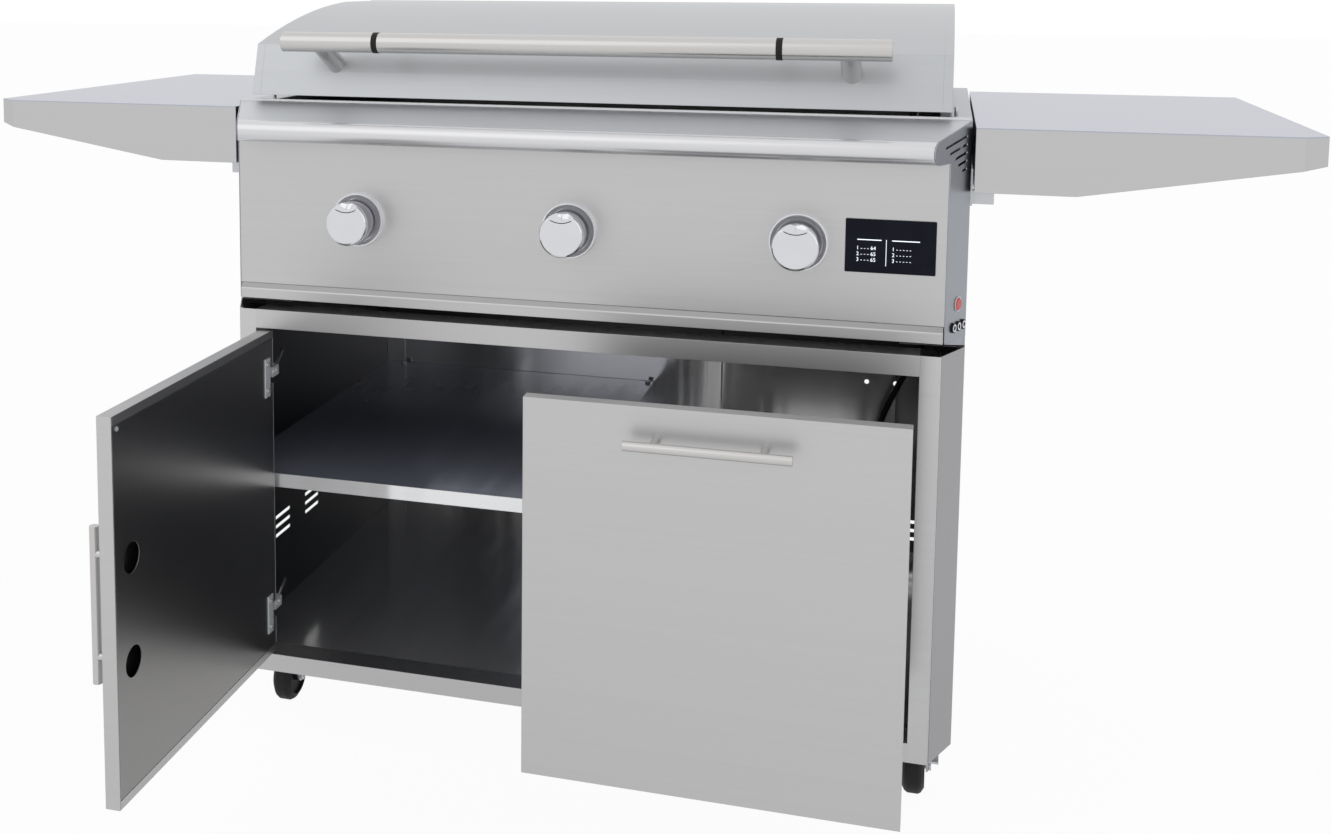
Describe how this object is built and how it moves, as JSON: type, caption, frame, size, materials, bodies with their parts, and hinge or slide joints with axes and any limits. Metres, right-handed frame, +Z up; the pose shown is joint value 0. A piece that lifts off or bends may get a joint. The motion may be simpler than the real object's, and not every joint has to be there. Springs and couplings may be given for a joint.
{
  "type": "griddle cart",
  "caption": "Stainless gas griddle with a hinged lid on a wheeled cart with a hinged door, a pull-out cylinder drawer and drop-leaf side shelves.",
  "frame": {"origin": "on the floor under the middle of the footprint, with the door open and the drawer pulled out", "axes": "+Z up, the front faces -Y, +X to the right as seen from the front"},
  "size_m": [1.852, 1.1706, 1.0742],
  "materials": {
    "panel_steel": "brushed",
    "inner_steel": "satin",
    "handle_steel": "fine brushed",
    "bright_trim": "polished",
    "zinc": "zinc plated",
    "plate_steel": "ground",
    "black_plastic": "satin",
    "red_plastic": "lit red",
    "rubber": "matte",
    "tyre": "matte",
    "brass": "machined",
    "die_cast": "cast"
  },
  "bodies": {
    "cart": {"face_frame": "panel_steel", "left_side_panel": "panel_steel", "right_side_panel": "panel_steel", "rear_panel": "panel_steel", "cart_floor": "inner_steel", "inner_shelf": "inner_steel", "door_hinge_arms": "zinc", "drawer_rails": "zinc", "caster_plates": "zinc", "left_cheek": "panel_steel", "right_cheek": "panel_steel", "head_rear_panel": "panel_steel", "firebox": "inner_steel", "control_panel": "panel_steel", "front_deck": "panel_steel", "display": "black_plastic", "knob_bezels": "bright_trim", "gas_manifold": "inner_steel", "gas_valves": "brass", "burners": "inner_steel", "griddle_plate": "plate_steel", "probe_jacks": "black_plastic", "lid_hinges": "zinc", "shelf_brackets": "zinc", "gas_hose": "rubber", "regulator": "die_cast"},
    "door": {"door_skin": "panel_steel", "door_inner_panel": "inner_steel", "door_handle": "handle_steel", "door_hinge_cups": "zinc"},
    "drawer": {"drawer_front_skin": "panel_steel", "drawer_inner_panel": "inner_steel", "drawer_handle": "handle_steel", "drawer_tray": "inner_steel", "drawer_gussets": "inner_steel", "drawer_runners": "zinc"},
    "lid": {"lid_shell": "panel_steel", "lid_end_caps": "panel_steel", "lid_handle": "handle_steel", "handle_rings": "rubber"},
    "left_leaf": {"left_shelf": "panel_steel"},
    "right_leaf": {"right_shelf": "panel_steel"},
    "drip_pan": {"drip_tray": "panel_steel"},
    "button": {"power_button": "red_plastic"},
    "stem_left": {"valve_stem_left": "zinc"},
    "dial_left": {"knob_left": "bright_trim"},
    "stem_middle": {"valve_stem_middle": "zinc"},
    "dial_middle": {"knob_middle": "bright_trim"},
    "stem_right": {"valve_stem_right": "zinc"},
    "dial_right": {"knob_right": "bright_trim"},
    "fork_front_left": {"caster_fork_front_left": "zinc"},
    "wheel_front_left": {"caster_wheel_front_left": "tyre"},
    "pedal_front_left": {"brake_pedal_front_left": "zinc"},
    "fork_front_right": {"caster_fork_front_right": "zinc"},
    "wheel_front_right": {"caster_wheel_front_right": "tyre"},
    "pedal_front_right": {"brake_pedal_front_right": "zinc"},
    "fork_rear_left": {"caster_fork_rear_left": "zinc"},
    "wheel_rear_left": {"caster_wheel_rear_left": "tyre"},
    "fork_rear_right": {"caster_fork_rear_right": "zinc"},
    "wheel_rear_right": {"caster_wheel_rear_right": "tyre"}
  },
  "joints": [
    {"name": "door_swing", "type": "hinge", "parent": "cart", "child": "door", "pos_m": [-0.448, -0.13873, 0.371], "axis": [0, 0, 1], "range_deg": [-20.85, 89.15]},
    {"name": "drawer_slide", "type": "slide", "parent": "cart", "child": "drawer", "axis": [0, -1, 0], "range_m": [-0.216, 0.2]},
    {"name": "lid_lift", "type": "hinge", "parent": "cart", "child": "lid", "pos_m": [0, 0.51327, 0.95601], "axis": [-1, 0, 0], "range_deg": [0, 88]},
    {"name": "left_leaf_fold", "type": "hinge", "parent": "cart", "child": "left_leaf", "pos_m": [-0.532, 0.24027, 0.83401], "axis": [0, -1, 0], "range_deg": [0, 90]},
    {"name": "right_leaf_fold", "type": "hinge", "parent": "cart", "child": "right_leaf", "pos_m": [0.532, 0.24027, 0.83401], "axis": [0, 1, 0], "range_deg": [0, 90]},
    {"name": "drip_pan_slide", "type": "slide", "parent": "cart", "child": "drip_pan", "axis": [0, -1, 0], "range_m": [0, 0.4]},
    {"name": "button_push", "type": "slide", "parent": "cart", "child": "button", "axis": [-0.9213, 0.3889, 0], "range_m": [0, 0.0025], "stiffness_N_per_m": 800, "springref_m": -0.002},
    {"name": "left_knob_turn", "type": "hinge", "parent": "cart", "child": "stem_left", "pos_m": [-0.304, -0.14473, 0.776], "axis": [0, -1, 0], "range_deg": [0, 225]},
    {"name": "left_knob_push", "type": "slide", "parent": "stem_left", "child": "dial_left", "axis": [0, 1, 0], "range_m": [0, 0.004], "stiffness_N_per_m": 1500, "springref_m": -0.003},
    {"name": "middle_knob_turn", "type": "hinge", "parent": "cart", "child": "stem_middle", "pos_m": [0, -0.14473, 0.776], "axis": [0, -1, 0], "range_deg": [0, 225]},
    {"name": "middle_knob_push", "type": "slide", "parent": "stem_middle", "child": "dial_middle", "axis": [0, 1, 0], "range_m": [0, 0.004], "stiffness_N_per_m": 1500, "springref_m": -0.003},
    {"name": "right_knob_turn", "type": "hinge", "parent": "cart", "child": "stem_right", "pos_m": [0.304, -0.14473, 0.776], "axis": [0, -1, 0], "range_deg": [0, 225]},
    {"name": "right_knob_push", "type": "slide", "parent": "stem_right", "child": "dial_right", "axis": [0, 1, 0], "range_m": [0, 0.004], "stiffness_N_per_m": 1500, "springref_m": -0.003},
    {"name": "front_left_swivel", "type": "hinge", "parent": "cart", "child": "fork_front_left", "pos_m": [-0.467, -0.04473, 0.1], "axis": [0, 0, 1], "continuous": true},
    {"name": "front_left_roll", "type": "hinge", "parent": "fork_front_left", "child": "wheel_front_left", "pos_m": [-0.467, -0.01473, 0.0375], "axis": [1, 0, 0], "continuous": true},
    {"name": "front_left_brake", "type": "hinge", "parent": "fork_front_left", "child": "pedal_front_left", "pos_m": [-0.467, -0.05073, 0.0842], "axis": [1, 0, 0], "range_deg": [0, 14]},
    {"name": "front_right_swivel", "type": "hinge", "parent": "cart", "child": "fork_front_right", "pos_m": [0.467, -0.04473, 0.1], "axis": [0, 0, 1], "continuous": true},
    {"name": "front_right_roll", "type": "hinge", "parent": "fork_front_right", "child": "wheel_front_right", "pos_m": [0.467, -0.01473, 0.0375], "axis": [1, 0, 0], "continuous": true},
    {"name": "front_right_brake", "type": "hinge", "parent": "fork_front_right", "child": "pedal_front_right", "pos_m": [0.467, -0.05073, 0.0842], "axis": [1, 0, 0], "range_deg": [0, 14]},
    {"name": "rear_left_swivel", "type": "hinge", "parent": "cart", "child": "fork_rear_left", "pos_m": [-0.467, 0.45527, 0.1], "axis": [0, 0, 1], "continuous": true},
    {"name": "rear_left_roll", "type": "hinge", "parent": "fork_rear_left", "child": "wheel_rear_left", "pos_m": [-0.467, 0.48527, 0.0375], "axis": [1, 0, 0], "continuous": true},
    {"name": "rear_right_swivel", "type": "hinge", "parent": "cart", "child": "fork_rear_right", "pos_m": [0.467, 0.45527, 0.1], "axis": [0, 0, 1], "continuous": true},
    {"name": "rear_right_roll", "type": "hinge", "parent": "fork_rear_right", "child": "wheel_rear_right", "pos_m": [0.467, 0.48527, 0.0375], "axis": [1, 0, 0], "continuous": true}
  ]
}
